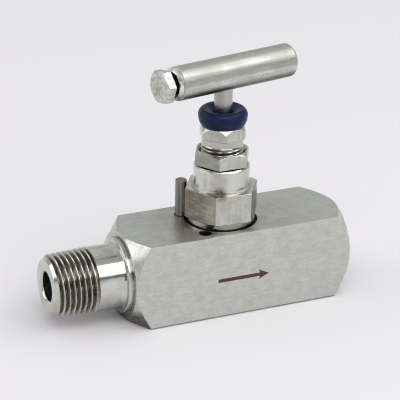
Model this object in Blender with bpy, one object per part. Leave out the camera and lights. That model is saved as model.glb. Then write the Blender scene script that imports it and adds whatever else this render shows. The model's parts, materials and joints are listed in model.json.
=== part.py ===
"""A half-inch bar-stock needle valve with a T-bar handle, at rest with its needle down on the seat.

The origin is on the underside of the bar, below the point where the flow axis, along X, crosses the stem
axis, along Z. The male end points to -X, the female end to +X. Every size below is in millimetres, with
heights measured from the flow axis, and the meshes are made in metres. Every piece hangs from an empty
on the flow axis, half a bar above the origin.
"""

import math

import bmesh
import bpy
from mathutils import Matrix, Vector

MM = 0.001
WELD = 1e-6
ROUND = 36
SMALL_ROUND = 24
CHAMFER_SLOPE = math.tan(math.radians(30))

# Running gap between pieces that nest or rest on each other
GAP = 0.2

# Setback of a turned piece's broken edge
EDGE = 0.5

# Body: 1-1/8 inch square bar, turned at both ends
BAR = 28.6
HALF_BAR = BAR / 2
MALE_END_X = -60.8
FEMALE_END_X = 41.2
CONE_END_R = HALF_BAR - 0.1
CONE_SLOPE = 1.15
SHOULDER_X = -35.6
COLLAR_R = 12.5
COLLAR_BACK_X = -36.0
COLLAR_X = -37.2
STUB_R = 10.7

# Half-inch tapered pipe thread, 14 to the inch, 1 in 16 on the diameter
PIPE_PITCH = 25.4 / 14
PIPE_TAPER = 1 / 32
PIPE_DEPTH = 0.8 * PIPE_PITCH
PIPE_THREAD_X = -46.6
PIPE_CREST_R = 10.7
PIPE_END_R = 8.9
PIPE_END_CHAMFER = 1.1
STEPS_PER_PITCH = 5

# Passages
MALE_BORE_R = 4.8
MALE_BORE_X = -14.0
INLET_R = 2.4
INLET_Z = -2.3
ORIFICE_R = 2.2
SEAT_Z = 1.8
CHAMBER_R = 5.5
CHAMBER_TOP = 6.0
OUTLET_R = 2.0
OUTLET_FROM = (23.5, 0.0, -0.4)
OUTLET_TO = (3.4, 0.0, 4.2)
PORT_MOUTH_R = 9.9
PORT_CHAMFER = 0.8
PORT_X = 23.0

# Bonnet joint in the body
BONNET_HOLE_R = 9.1
RECESS_R = 11.9
RECESS_Z = 13.1
LOCK_PIN_R = 1.9
LOCK_PIN_AT = 13.25
LOCK_PIN_ANGLE = 147
LOCK_PIN_TOP = 26.8
PIN_HOLE_FLOOR = 6.1
SPARE_HOLE_AT = 14.0
SPARE_HOLE_ANGLE = -135

# Bonnet
BONNET_FLATS = 22.0
BONNET_CORNER_ANGLE = -3
BONNET_SHANK_R = 8.8
BONNET_BOTTOM = 7.4
BONNET_COLLAR_R = 11.2
BONNET_COLLAR_Z = 13.4
BONNET_HEX_Z = (16.2, 26.2)
BONNET_CHAMFERS_END_R = (12.2, 12.0)
BOSS_R = 9.2
BOSS_TOP = 33.8
STEM_ROOM_R = 4.7
GUIDE_Z = (15.3, 18.3)
PACKING_BOX_R = 5.9
PACKING_BOX_TOP = 27.0
GLAND_BORE_R = 7.1
SEAL_R = (5.8, 8.6)
SEAL_Z = (6.2, 7.2)

# Gland nut and its lock nut
GLAND_THREAD_R = 6.85
GLAND_BOTTOM = 28.6
GLAND_FLATS = 13.8
GLAND_CORNER_ANGLE = -107
GLAND_HEX_Z = (43.0, 47.0)
GLAND_CHAMFERS_END_R = (7.5, 6.9)
GLAND_GUIDE_Z = 49.2
GLAND_THREAD_ROOM_Z = 48.4
GLAND_NECK_R = 6.0
GLAND_TOP = 51.0
LOCK_NUT_FLATS = 16.6
LOCK_NUT_CORNER_ANGLE = -120
LOCK_NUT_Z = (34.1, 38.8)
LOCK_NUT_CHAMFERS_END_R = (9.2, 8.1)
LOCK_NUT_COUNTERSINK = 0.6

# Dust cap
CAP_R = 8.05
CAP_Z = (47.15, 52.6)

# Stem, turning in the gland nut's inner thread, M8 x 1.25
STEM_R = 3.0
STEM_THREAD_R = 4.0
STEM_THREAD_Z = (31.0, 42.2)
BACK_SEAT_R = 4.2
BACK_SEAT_Z = (8.3, 9.7)
SPIGOT_R = 2.0
SPIGOT_BOTTOM = 6.6
STEM_TOP = 66.8
BALL_R = 0.9

# Needle tip
TIP_NOSE_R = 0.9
TIP_NOSE_Z = 0.2
TIP_R = 3.6
TIP_TOP = 8.0
SOCKET_R = 2.25
SOCKET_FLOOR = 4.6
CLIP_Z = 7.3
CLIP_WIRE_R = 0.3
CLIP_GROOVE = 0.7
CLIP_GROOVE_DEPTH = 0.4

# Chevron packing
PACKING_IN_R = 3.15
PACKING_OUT_R = 5.7
CHEVRON_RISE = 0.8
RING_THICKNESS = 1.0
SUPPORT_Z = (18.5, 19.4)
PACKING_BOTTOM = 19.6
ADAPTER_EDGE = 0.6
V_RING_COUNT = 3
PACKING_TOP = 26.3
FOLLOWER_Z = (26.5, 28.3)
FOLLOWER_CHAMFER = 0.4

# Handle: its bar lies along the local X of an empty on the stem axis
HANDLE_Z = 64.06
HANDLE_ANGLE = 11.2
HANDLE_R = 5.5
HANDLE_ENDS = (-20.2, 26.4)
HANDLE_CHAMFER = 1.1
HANDLE_STEM_HOLE_TOP = 67.2
BOLT_R = 2.9
BOLT_FLATS = 10.0
BOLT_CORNER_ANGLE = 50
BOLT_HEAD_X = (-25.0, -22.0)
BOLT_CHAMFERS_END_R = (4.9, 5.6)
BOLT_TIP_X = -3.4


def clear_scene():
    for thing in list(bpy.data.objects):
        bpy.data.objects.remove(thing)


def make_finish(name, colour, metallic, roughness):
    finish = bpy.data.materials.new(name)
    finish.use_nodes = True
    shader = finish.node_tree.nodes["Principled BSDF"]
    shader.inputs["Base Color"].default_value = (*colour, 1)
    shader.inputs["Metallic"].default_value = metallic
    shader.inputs["Roughness"].default_value = roughness
    return finish


def add_axis(name, parent=None, height=0, angle=0):
    """An empty on the stem axis, for pieces to hang from."""
    axis = bpy.data.objects.new(name, None)
    axis.location = (0, 0, height * MM)
    axis.rotation_euler = (0, 0, math.radians(angle))
    axis.parent = parent
    bpy.context.scene.collection.objects.link(axis)
    return axis


def add_piece(name, shape, finish, parent):
    mesh = bpy.data.meshes.new(name)
    shape.to_mesh(mesh)
    shape.free()
    mesh.materials.append(finish)
    mesh.shade_smooth()
    mesh.set_sharp_from_angle(angle=math.radians(25))
    piece = bpy.data.objects.new(name, mesh)
    piece.parent = parent
    bpy.context.scene.collection.objects.link(piece)
    return piece


def combine(piece, tool_name, shape, operation):
    """A Boolean on the piece, with its tool kept as a hidden helper beside it."""
    tool = add_piece(tool_name, shape, piece.data.materials[0], piece.parent)
    tool.hide_render = True
    tool.display_type = "WIRE"
    boolean = piece.modifiers.new(tool_name, "BOOLEAN")
    boolean.operation = operation
    boolean.object = tool


def loft(rings):
    """A closed skin over rings of equal point count, with a flat cap at each end."""
    shape = bmesh.new()
    rows = [[shape.verts.new(Vector(point) * MM) for point in ring] for ring in rings]
    for low, high in zip(rows, rows[1:]):
        for i in range(len(low)):
            j = (i + 1) % len(low)
            shape.faces.new((low[i], low[j], high[j], high[i]))
    shape.faces.new(rows[0][::-1])
    shape.faces.new(rows[-1])
    bmesh.ops.recalc_face_normals(shape, faces=shape.faces)
    return shape


def turned(outline, steps=ROUND):
    """A closed outline of (radius, height) points, turned about Z."""
    shape = bmesh.new()
    points = [shape.verts.new((radius * MM, 0, height * MM)) for radius, height in outline]
    edges = []
    for i in range(len(outline)):
        if outline[i - 1][0] > 0 or outline[i][0] > 0:
            edges.append(shape.edges.new((points[i - 1], points[i])))
    bmesh.ops.spin(shape, geom=points + edges, axis=(0, 0, 1), angle=2 * math.pi, steps=steps)
    bmesh.ops.remove_doubles(shape, verts=shape.verts, dist=WELD)
    bmesh.ops.recalc_face_normals(shape, faces=shape.faces)
    return shape


def along_x(shape):
    """Turns a shape made about Z so that its height runs along X."""
    shape.transform(Matrix.Rotation(math.radians(90), 4, "Y"))
    return shape


def moved(shape, offset):
    shape.transform(Matrix.Translation(Vector(offset) * MM))
    return shape


def rod(radius, low, high, steps=ROUND):
    return turned([(0, low), (radius, low), (radius, high), (0, high)], steps)


def hexagon_bar(across_flats, low, high, corner_angle):
    corner_r = across_flats / 2 / math.cos(math.radians(30))
    angles = [math.radians(corner_angle + 60 * k) for k in range(6)]
    corners = [(corner_r * math.cos(a), corner_r * math.sin(a)) for a in angles]
    return loft([[(x, y, z) for x, y in corners] for z in (low, high)])


def hexagon_outline(across_flats, low, high, chamfers_end_r):
    """The outer side, bottom to top, of a turned nut blank whose 30 degree chamfers end at these radii."""
    low_flat_r, high_flat_r = chamfers_end_r
    corner_r = across_flats / 2 / math.cos(math.radians(30)) + EDGE
    return [
        (low_flat_r, low),
        (corner_r, low + (corner_r - low_flat_r) * CHAMFER_SLOPE),
        (corner_r, high - (corner_r - high_flat_r) * CHAMFER_SLOPE),
        (high_flat_r, high),
    ]


def pipe_radius(x, angle):
    """The male end's outer surface: a tapered thread, faded out at the stub and chamfered at the end."""
    crest = PIPE_CREST_R - PIPE_TAPER * (PIPE_THREAD_X - x)
    phase = (x / PIPE_PITCH - angle / (2 * math.pi)) % 1
    dip = min(1, max(0, 1.1 * (1 - abs(2 * phase - 1)) - 0.05))
    fade = min(1, max(0, (PIPE_THREAD_X - x) / PIPE_PITCH))
    end_slope = (crest - PIPE_END_R) / PIPE_END_CHAMFER
    chamfer = PIPE_END_R + end_slope * (x - MALE_END_X)
    return min(crest - PIPE_DEPTH * dip * fade, chamfer)


def body_envelope():
    """Everything that the lathe cuts on the bar: the male thread, stub, collar and both cones."""
    def ring(x, radius_at):
        angles = [2 * math.pi * k / ROUND for k in range(ROUND)]
        return [(x, radius_at(a) * math.cos(a), radius_at(a) * math.sin(a)) for a in angles]

    count = round((PIPE_THREAD_X - MALE_END_X) / PIPE_PITCH * STEPS_PER_PITCH)
    rings = []
    for step in range(count + 1):
        x = MALE_END_X + (PIPE_THREAD_X - MALE_END_X) * step / count
        rings.append(ring(x, lambda angle: pipe_radius(x, angle)))
    clear_r = HALF_BAR * 1.5
    cone_length = (clear_r - CONE_END_R) / CONE_SLOPE
    lathe_cuts = [
        (COLLAR_X, STUB_R),
        (COLLAR_X, COLLAR_R),
        (COLLAR_BACK_X, COLLAR_R),
        (SHOULDER_X, CONE_END_R),
        (SHOULDER_X + cone_length, clear_r),
        (FEMALE_END_X - cone_length, clear_r),
        (FEMALE_END_X, CONE_END_R),
    ]
    rings += [ring(x, lambda angle: radius) for x, radius in lathe_cuts]
    return loft(rings)


def pin_hole(at, angle):
    place = (at * math.cos(math.radians(angle)), at * math.sin(math.radians(angle)), 0)
    return moved(rod(LOCK_PIN_R + GAP, PIN_HOLE_FLOOR, HALF_BAR + 1, SMALL_ROUND), place)


def make_body(valve, finish):
    long_x = (MALE_END_X - 1, FEMALE_END_X + 1)
    corners = [(-1, -1), (1, -1), (1, 1), (-1, 1)]
    bar = loft([[(x, y * HALF_BAR, z * HALF_BAR) for y, z in corners] for x in long_x])
    body = add_piece("body", bar, finish, valve)
    combine(body, "body_lathe_cuts", body_envelope(), "INTERSECT")

    mouth = MALE_BORE_R + 0.35
    male_bore = [
        (0, MALE_END_X - 1), (mouth + 1, MALE_END_X - 1), (MALE_BORE_R, MALE_END_X + 0.35),
        (MALE_BORE_R, MALE_BORE_X), (0, MALE_BORE_X + MALE_BORE_R / 2),
    ]
    combine(body, "body_male_bore", along_x(turned(male_bore)), "DIFFERENCE")

    inlet = [(0, MALE_BORE_X - 1), (INLET_R, MALE_BORE_X - 1), (INLET_R, 1.0), (0, 1.0 + INLET_R / 2)]
    combine(body, "body_inlet", moved(along_x(turned(inlet, SMALL_ROUND)), (0, 0, INLET_Z)), "DIFFERENCE")

    bonnet_hole = [
        (0, INLET_Z), (ORIFICE_R, INLET_Z), (ORIFICE_R, SEAT_Z - 0.3), (ORIFICE_R + 0.3, SEAT_Z),
        (CHAMBER_R, SEAT_Z), (CHAMBER_R, CHAMBER_TOP), (BONNET_HOLE_R, CHAMBER_TOP),
        (BONNET_HOLE_R, RECESS_Z), (RECESS_R, RECESS_Z), (RECESS_R, HALF_BAR + 1), (0, HALF_BAR + 1),
    ]
    combine(body, "body_bonnet_hole", turned(bonnet_hole), "DIFFERENCE")

    run = Vector(OUTLET_TO) - Vector(OUTLET_FROM)
    outlet = rod(OUTLET_R, 0, run.length, SMALL_ROUND)
    outlet.transform(run.to_track_quat("Z", "Y").to_matrix().to_4x4())
    combine(body, "body_outlet", moved(outlet, OUTLET_FROM), "DIFFERENCE")

    port_floor_r = PORT_MOUTH_R - PIPE_TAPER * (FEMALE_END_X - PORT_X)
    port = [
        (0, PORT_X - port_floor_r * CHAMFER_SLOPE), (port_floor_r, PORT_X),
        (PORT_MOUTH_R, FEMALE_END_X - PORT_CHAMFER), (PORT_MOUTH_R + PORT_CHAMFER + 1, FEMALE_END_X + 1),
        (0, FEMALE_END_X + 1),
    ]
    combine(body, "body_port", along_x(turned(port)), "DIFFERENCE")

    combine(body, "body_pin_hole", pin_hole(LOCK_PIN_AT, LOCK_PIN_ANGLE), "DIFFERENCE")
    combine(body, "body_spare_hole", pin_hole(SPARE_HOLE_AT, SPARE_HOLE_ANGLE), "DIFFERENCE")


def make_bonnet(valve, finish):
    low, high = BONNET_HEX_Z
    hexagon = hexagon_bar(BONNET_FLATS, low - 1, high + 1, BONNET_CORNER_ANGLE)
    bonnet = add_piece("bonnet", hexagon, finish, valve)
    core_r = BOSS_R - 1
    blank = hexagon_outline(BONNET_FLATS, low, high, BONNET_CHAMFERS_END_R) + [(core_r, high), (core_r, low)]
    combine(bonnet, "bonnet_blank", turned(blank), "INTERSECT")
    guide_r = STEM_R + GAP
    core = [
        (BONNET_SHANK_R, BONNET_BOTTOM), (BONNET_SHANK_R, BONNET_COLLAR_Z),
        (BONNET_COLLAR_R, BONNET_COLLAR_Z), (BONNET_COLLAR_R, low + 1), (BOSS_R, low + 1),
        (BOSS_R, BOSS_TOP - EDGE), (BOSS_R - EDGE, BOSS_TOP),
        (GLAND_BORE_R, BOSS_TOP), (GLAND_BORE_R, PACKING_BOX_TOP), (PACKING_BOX_R, PACKING_BOX_TOP),
        (PACKING_BOX_R, GUIDE_Z[1]), (guide_r, GUIDE_Z[1]), (guide_r, GUIDE_Z[0]),
        (STEM_ROOM_R, GUIDE_Z[0]), (STEM_ROOM_R, BONNET_BOTTOM),
    ]
    combine(bonnet, "bonnet_core", turned(core), "UNION")


def make_bonnet_fixings(valve, steel, seal):
    ring = [(SEAL_R[0], SEAL_Z[0]), (SEAL_R[1], SEAL_Z[0]), (SEAL_R[1], SEAL_Z[1]), (SEAL_R[0], SEAL_Z[1])]
    add_piece("bonnet_seal_ring", turned(ring, SMALL_ROUND), seal, valve)
    pin = [
        (0, PIN_HOLE_FLOOR + GAP), (LOCK_PIN_R, PIN_HOLE_FLOOR + GAP), (LOCK_PIN_R, LOCK_PIN_TOP - 0.3),
        (LOCK_PIN_R - 0.3, LOCK_PIN_TOP), (0.45, LOCK_PIN_TOP), (0, LOCK_PIN_TOP - 0.4),
    ]
    turn = math.radians(LOCK_PIN_ANGLE)
    place = (LOCK_PIN_AT * math.cos(turn), LOCK_PIN_AT * math.sin(turn), 0)
    add_piece("bonnet_lock_pin", moved(turned(pin, SMALL_ROUND), place), steel, valve)


def chevron(low):
    """The inner edge, peak and outer edge of a chevron face whose edges are this high."""
    middle = (PACKING_IN_R + PACKING_OUT_R) / 2
    return [(PACKING_IN_R, low), (middle, low + CHEVRON_RISE), (PACKING_OUT_R, low)]


def make_packing(valve, steel, soft):
    low, high = SUPPORT_Z
    washer = [(PACKING_IN_R, low), (PACKING_OUT_R, low), (PACKING_OUT_R, high), (PACKING_IN_R, high)]
    add_piece("packing_support_washer", turned(washer, SMALL_ROUND), steel, valve)

    flat = [(PACKING_IN_R, PACKING_BOTTOM), (PACKING_OUT_R, PACKING_BOTTOM)]
    edge = PACKING_BOTTOM + ADAPTER_EDGE
    outline = flat + chevron(edge)[::-1]
    add_piece("packing_bottom_adapter", turned(outline, SMALL_ROUND), soft, valve)
    for number in range(1, V_RING_COUNT + 1):
        low = edge + GAP
        edge = low + RING_THICKNESS
        outline = chevron(low) + chevron(edge)[::-1]
        add_piece(f"packing_v_ring_{number}", turned(outline, SMALL_ROUND), soft, valve)
    flat = [(PACKING_OUT_R, PACKING_TOP), (PACKING_IN_R, PACKING_TOP)]
    outline = chevron(edge + GAP) + flat
    add_piece("packing_top_adapter", turned(outline, SMALL_ROUND), soft, valve)

    low, high = FOLLOWER_Z
    bush = [
        (PACKING_IN_R, low), (PACKING_OUT_R, low), (PACKING_OUT_R, high - FOLLOWER_CHAMFER),
        (PACKING_OUT_R - FOLLOWER_CHAMFER, high), (PACKING_IN_R, high),
    ]
    add_piece("packing_follower", turned(bush, SMALL_ROUND), steel, valve)


def make_gland(valve, steel, cap_finish):
    """The gland: its cap rides on the axis that lifts, and its two nuts on the axis that turns."""
    lift = add_axis("gland_lift_axis", valve, BOSS_TOP)
    turn = add_axis("gland_turn_axis", lift)
    raised = (0, 0, -BOSS_TOP)

    low, high = GLAND_HEX_Z
    hexagon = moved(hexagon_bar(GLAND_FLATS, low - 1, high + 1, GLAND_CORNER_ANGLE), raised)
    nut = add_piece("gland_nut", hexagon, steel, turn)
    core_r = GLAND_NECK_R - 0.8
    blank = hexagon_outline(GLAND_FLATS, low, high, GLAND_CHAMFERS_END_R) + [(core_r, high), (core_r, low)]
    combine(nut, "gland_nut_blank", moved(turned(blank), raised), "INTERSECT")
    thread_room = STEM_THREAD_R + GAP
    guide_r = STEM_R + GAP
    core = [
        (GLAND_THREAD_R - EDGE, GLAND_BOTTOM), (GLAND_THREAD_R, GLAND_BOTTOM + EDGE),
        (GLAND_THREAD_R, high - 1), (GLAND_NECK_R, high - 1), (GLAND_NECK_R, GLAND_TOP - EDGE),
        (GLAND_NECK_R - EDGE, GLAND_TOP), (guide_r, GLAND_TOP), (guide_r, GLAND_GUIDE_Z),
        (thread_room, GLAND_THREAD_ROOM_Z), (thread_room, GLAND_BOTTOM),
    ]
    combine(nut, "gland_nut_core", moved(turned(core), raised), "UNION")

    low, high = LOCK_NUT_Z
    hexagon = moved(hexagon_bar(LOCK_NUT_FLATS, low - 1, high + 1, LOCK_NUT_CORNER_ANGLE), raised)
    lock_nut = add_piece("gland_lock_nut", hexagon, steel, turn)
    hole = GLAND_THREAD_R + 1.5 * GAP
    mouth = hole + LOCK_NUT_COUNTERSINK
    blank = hexagon_outline(LOCK_NUT_FLATS, low, high, LOCK_NUT_CHAMFERS_END_R)
    blank += [
        (mouth, high), (hole, high - LOCK_NUT_COUNTERSINK), (hole, low + LOCK_NUT_COUNTERSINK), (mouth, low),
    ]
    combine(lock_nut, "gland_lock_nut_blank", moved(turned(blank), raised), "INTERSECT")

    low, high = CAP_Z
    inner = GLAND_NECK_R + GAP
    ceiling = GLAND_TOP + GAP
    hole_r = STEM_R + 2 * GAP
    cap = [
        (CAP_R - 1.05, low), (CAP_R - 0.45, low + 0.7), (CAP_R - 0.1, low + 2.0), (CAP_R, low + 3.1),
        (CAP_R - 0.25, low + 4.1), (CAP_R - 0.75, low + 4.8), (CAP_R - 1.75, high),
        (CAP_R - 2.75, high - 0.1), (hole_r + 0.4, high - 0.7), (hole_r, high - 0.9), (hole_r, ceiling),
        (inner, ceiling), (inner, low),
    ]
    add_piece("dust_cap", moved(turned(cap), raised), cap_finish, lift)


def make_needle(lift, steel):
    shoulder_z = TIP_NOSE_Z + (TIP_R - TIP_NOSE_R) / CHAMFER_SLOPE
    groove = (CLIP_Z - CLIP_GROOVE / 2, CLIP_Z + CLIP_GROOVE / 2)
    tip = [
        (0, TIP_NOSE_Z), (TIP_NOSE_R, TIP_NOSE_Z), (TIP_R, shoulder_z), (TIP_R, TIP_TOP),
        (SOCKET_R, TIP_TOP), (SOCKET_R, groove[1]), (SOCKET_R + CLIP_GROOVE_DEPTH, groove[1]),
        (SOCKET_R + CLIP_GROOVE_DEPTH, groove[0]), (SOCKET_R, groove[0]), (SOCKET_R, SOCKET_FLOOR),
        (0, SOCKET_FLOOR),
    ]
    add_piece("needle_tip", turned(tip, SMALL_ROUND), steel, lift)

    middle = (SPIGOT_R + SOCKET_R) / 2
    wire = [math.radians(45 * k) for k in range(8)]
    clip = [(middle + CLIP_WIRE_R * math.cos(a), CLIP_Z + CLIP_WIRE_R * math.sin(a)) for a in wire]
    add_piece("tip_retaining_ring", turned(clip, SMALL_ROUND), steel, lift)


def make_spindle(turn, steel, ball_steel):
    groove = (CLIP_Z - CLIP_GROOVE / 2, CLIP_Z + CLIP_GROOVE / 2)
    low, high = STEM_THREAD_Z
    stem = [
        (0, SPIGOT_BOTTOM), (SPIGOT_R, SPIGOT_BOTTOM), (SPIGOT_R, groove[0]),
        (SPIGOT_R - CLIP_GROOVE_DEPTH, groove[0]), (SPIGOT_R - CLIP_GROOVE_DEPTH, groove[1]),
        (SPIGOT_R, groove[1]), (SPIGOT_R, BACK_SEAT_Z[0]), (BACK_SEAT_R, BACK_SEAT_Z[0]),
        (BACK_SEAT_R, BACK_SEAT_Z[1] - EDGE), (STEM_R, BACK_SEAT_Z[1]), (STEM_R, low - EDGE),
        (STEM_THREAD_R, low + EDGE), (STEM_THREAD_R, high - EDGE), (STEM_R, high + EDGE),
        (STEM_R, STEM_TOP - EDGE), (STEM_R - EDGE, STEM_TOP), (0, STEM_TOP),
    ]
    add_piece("stem", turned(stem, SMALL_ROUND), steel, turn)

    ball = bmesh.new()
    centre = Matrix.Translation((0, 0, (SOCKET_FLOOR + 0.1 + BALL_R) * MM))
    bmesh.ops.create_uvsphere(ball, u_segments=16, v_segments=10, radius=BALL_R * MM, matrix=centre)
    add_piece("thrust_ball", ball, ball_steel, turn)


def make_handle(turn, steel, bolt_steel):
    """The bar and its bolt, made along the local X of an empty turned to the bar's direction."""
    bar_axis = add_axis("handle_axis", turn, HANDLE_Z, HANDLE_ANGLE)
    left, right = HANDLE_ENDS
    face_r = HANDLE_R - HANDLE_CHAMFER
    bar = [
        (0, left), (face_r, left), (HANDLE_R, left + HANDLE_CHAMFER), (HANDLE_R, right - HANDLE_CHAMFER),
        (face_r, right), (0, right),
    ]
    handle = add_piece("handle_bar", along_x(turned(bar)), steel, bar_axis)
    bolt_room = BOLT_R + GAP
    bolt_hole = [
        (0, left - 1), (bolt_room + 1.6, left - 1), (bolt_room, left + 0.6), (bolt_room, -1), (0, -1),
    ]
    combine(handle, "handle_bolt_hole", along_x(turned(bolt_hole, SMALL_ROUND)), "DIFFERENCE")
    stem_hole = rod(STEM_R + GAP, -HANDLE_R - 1, HANDLE_STEM_HOLE_TOP - HANDLE_Z, SMALL_ROUND)
    combine(handle, "handle_stem_hole", stem_hole, "DIFFERENCE")

    low, high = BOLT_HEAD_X
    # along_x takes an angle about Z to one from -Z towards +Y, and the bolt's is from +Y towards +Z
    head = along_x(hexagon_bar(BOLT_FLATS, low - 1, high + 1, 90 + BOLT_CORNER_ANGLE))
    bolt = add_piece("handle_bolt", head, bolt_steel, bar_axis)
    blank = hexagon_outline(BOLT_FLATS, low, high, BOLT_CHAMFERS_END_R)
    combine(bolt, "handle_bolt_blank", along_x(turned([(0, low)] + blank + [(0, high)])), "INTERSECT")
    shank = [
        (0, high - 1), (BOLT_R, high - 1), (BOLT_R, BOLT_TIP_X - EDGE), (BOLT_R - EDGE, BOLT_TIP_X),
        (0, BOLT_TIP_X),
    ]
    combine(bolt, "handle_bolt_shank", along_x(turned(shank, SMALL_ROUND)), "UNION")


def main():
    clear_scene()
    bar_steel = make_finish("bar_steel", (0.47, 0.47, 0.45), 0.9, 0.42)
    turned_steel = make_finish("turned_steel", (0.55, 0.55, 0.53), 1.0, 0.3)
    bolt_steel = make_finish("bolt_steel", (0.5, 0.5, 0.48), 0.9, 0.45)
    hard_steel = make_finish("hard_steel", (0.42, 0.42, 0.42), 1.0, 0.2)
    dark_pin = make_finish("dark_pin", (0.3, 0.27, 0.25), 1.0, 0.4)
    packing = make_finish("packing", (0.85, 0.85, 0.82), 0.0, 0.5)
    seal = make_finish("seal", (0.35, 0.35, 0.34), 0.8, 0.5)
    blue_cap = make_finish("blue_cap", (0.012, 0.025, 0.095), 0.0, 0.35)

    valve = add_axis("flow_axis", height=HALF_BAR)
    make_body(valve, bar_steel)
    make_bonnet(valve, turned_steel)
    make_bonnet_fixings(valve, dark_pin, seal)
    make_packing(valve, turned_steel, packing)
    make_gland(valve, turned_steel, blue_cap)

    lift = add_axis("needle_lift_axis", valve)
    turn = add_axis("spindle_turn_axis", lift)
    make_needle(lift, hard_steel)
    make_spindle(turn, turned_steel, hard_steel)
    make_handle(turn, turned_steel, bolt_steel)


main()
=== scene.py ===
"""The looks of a half-inch bar-stock needle valve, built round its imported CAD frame.

Each visible piece is a fine turned or milled mesh in the place of its CAD node. Sizes are in
millimetres, with heights measured from the flow axis, and the meshes are made in metres. The stage,
the lights and the camera are in metres throughout.
"""

import json
import math

import bmesh
import bpy
from mathutils import Matrix, Vector


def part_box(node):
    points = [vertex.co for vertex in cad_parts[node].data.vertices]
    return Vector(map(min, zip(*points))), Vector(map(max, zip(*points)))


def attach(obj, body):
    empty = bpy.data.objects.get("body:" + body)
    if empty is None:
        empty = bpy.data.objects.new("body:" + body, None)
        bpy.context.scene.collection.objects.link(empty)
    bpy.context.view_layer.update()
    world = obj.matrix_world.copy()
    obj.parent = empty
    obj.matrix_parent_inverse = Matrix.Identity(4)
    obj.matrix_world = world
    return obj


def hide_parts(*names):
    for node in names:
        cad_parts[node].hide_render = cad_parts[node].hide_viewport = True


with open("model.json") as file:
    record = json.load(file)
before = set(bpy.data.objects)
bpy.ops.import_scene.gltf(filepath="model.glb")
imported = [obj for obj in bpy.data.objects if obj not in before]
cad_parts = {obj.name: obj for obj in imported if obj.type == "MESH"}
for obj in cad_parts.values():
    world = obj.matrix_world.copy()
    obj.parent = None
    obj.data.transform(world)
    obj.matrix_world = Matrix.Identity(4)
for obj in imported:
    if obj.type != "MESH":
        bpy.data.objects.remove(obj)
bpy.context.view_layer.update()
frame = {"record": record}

MM = 0.001
TURN = 2 * math.pi
WELD = 1e-7
ARC_STEPS = 3
ROUND = 128
SMALL_ROUND = 64
CHAMFER_SLOPE = math.tan(math.radians(30))
THREAD_FLAT = 0.08
BREAK = 0.15


def span(node, axis):
    low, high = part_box(node)
    return low[axis] / MM, high[axis] / MM


FLOW_Z = sum(span("body", 2)) / 2
HALF_BAR = (span("body", 2)[1] - span("body", 2)[0]) / 2


def heights(node):
    """A node's lowest and highest point, from the flow axis."""
    low, high = span(node, 2)
    return low - FLOW_Z, high - FLOW_Z


def radius_of(node):
    low, high = span(node, 0)
    return (high - low) / 2


# ---------------------------------------------------------------- shapes


def polygon_radius(angle, sides, apothem, corner_angle, rounding):
    """How far a regular bar with rounded long edges reaches at this angle about its axis."""
    half = math.pi / sides
    from_corner = (angle - corner_angle + half) % (2 * half) - half
    from_flat = half - abs(from_corner)
    inner = apothem - rounding
    if math.tan(from_flat) <= inner * math.tan(half) / apothem:
        return apothem / math.cos(from_flat)
    centre = inner / math.cos(half)
    across = centre * math.sin(from_corner)
    return centre * math.cos(from_corner) + math.sqrt(max(0, rounding**2 - across**2))


def angles_round(count, sides=0, corner_angle=0, reach=1.2):
    """Even steps round the axis, with closer ones over the rounded long edges of a bar."""
    found = [TURN * k / count for k in range(count)]
    for corner in range(sides):
        middle = corner_angle + TURN * corner / sides
        found += [(middle + math.radians(reach) * step / 4) % TURN for step in range(-5, 6)]
    found.sort()
    smallest = math.radians(0.05)
    return [a for a, following in zip(found, found[1:] + [TURN + found[0]]) if following - a > smallest]


def softened(corners):
    """The points of an outline whose corners are (radius, height, setback of the rounding, finish)."""
    points = []
    for i, (r, h, setback, finish) in enumerate(corners):
        here = Vector((r, h))
        before = Vector(corners[i - 1][:2])
        after = Vector(corners[(i + 1) % len(corners)][:2])
        if setback == 0:
            points.append((r, h, finish))
            continue
        back = before - here
        onward = after - here
        start = here + back * min(0.45, setback / max(back.length, 1e-6))
        end = here + onward * min(0.45, setback / max(onward.length, 1e-6))
        for step in range(ARC_STEPS + 1):
            t = step / ARC_STEPS
            point = start * (1 - t) ** 2 + here * 2 * t * (1 - t) + end * t**2
            points.append((point.x, point.y, finish))
    return points


def lathe(outline_at, angles):
    """A closed shape round Z from an outline that may change with the angle."""
    shape = bmesh.new()
    columns = []
    for angle in angles:
        c, s = math.cos(angle), math.sin(angle)
        outline = softened(outline_at(angle))
        column = []
        for r, h, finish in outline:
            column.append((shape.verts.new((r * c * MM, r * s * MM, h * MM)), r, finish))
        columns.append(column)
    for left, right in zip(columns, columns[1:] + columns[:1]):
        for i in range(len(left)):
            if left[i - 1][1] <= 0 and left[i][1] <= 0:
                continue
            face = shape.faces.new((left[i - 1][0], right[i - 1][0], right[i][0], left[i][0]))
            face.material_index = left[i][2]
    bmesh.ops.remove_doubles(shape, verts=shape.verts, dist=WELD)
    bmesh.ops.dissolve_degenerate(shape, edges=shape.edges, dist=WELD)
    bmesh.ops.recalc_face_normals(shape, faces=shape.faces)
    return shape


def turned(corners, count=ROUND):
    """A round shape from (radius, height) or (radius, height, setback) corners."""
    full = [(*corner, BREAK, 0) if len(corner) == 2 else (*corner, 0) for corner in corners]
    full = [(r, h, 0 if r == 0 else setback, finish) for r, h, setback, finish in full]
    return lathe(lambda angle: full, angles_round(count))


def along_x(shape):
    shape.transform(Matrix.Rotation(math.radians(90), 4, "Y"))
    return shape


def moved(shape, offset):
    shape.transform(Matrix.Translation(Vector(offset) * MM))
    return shape


def add_mesh(name, shape, materials):
    mesh = bpy.data.meshes.new(name)
    shape.to_mesh(mesh)
    shape.free()
    for material in materials:
        mesh.materials.append(material)
    thing = bpy.data.objects.new(name, mesh)
    bpy.context.scene.collection.objects.link(thing)
    return thing


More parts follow.
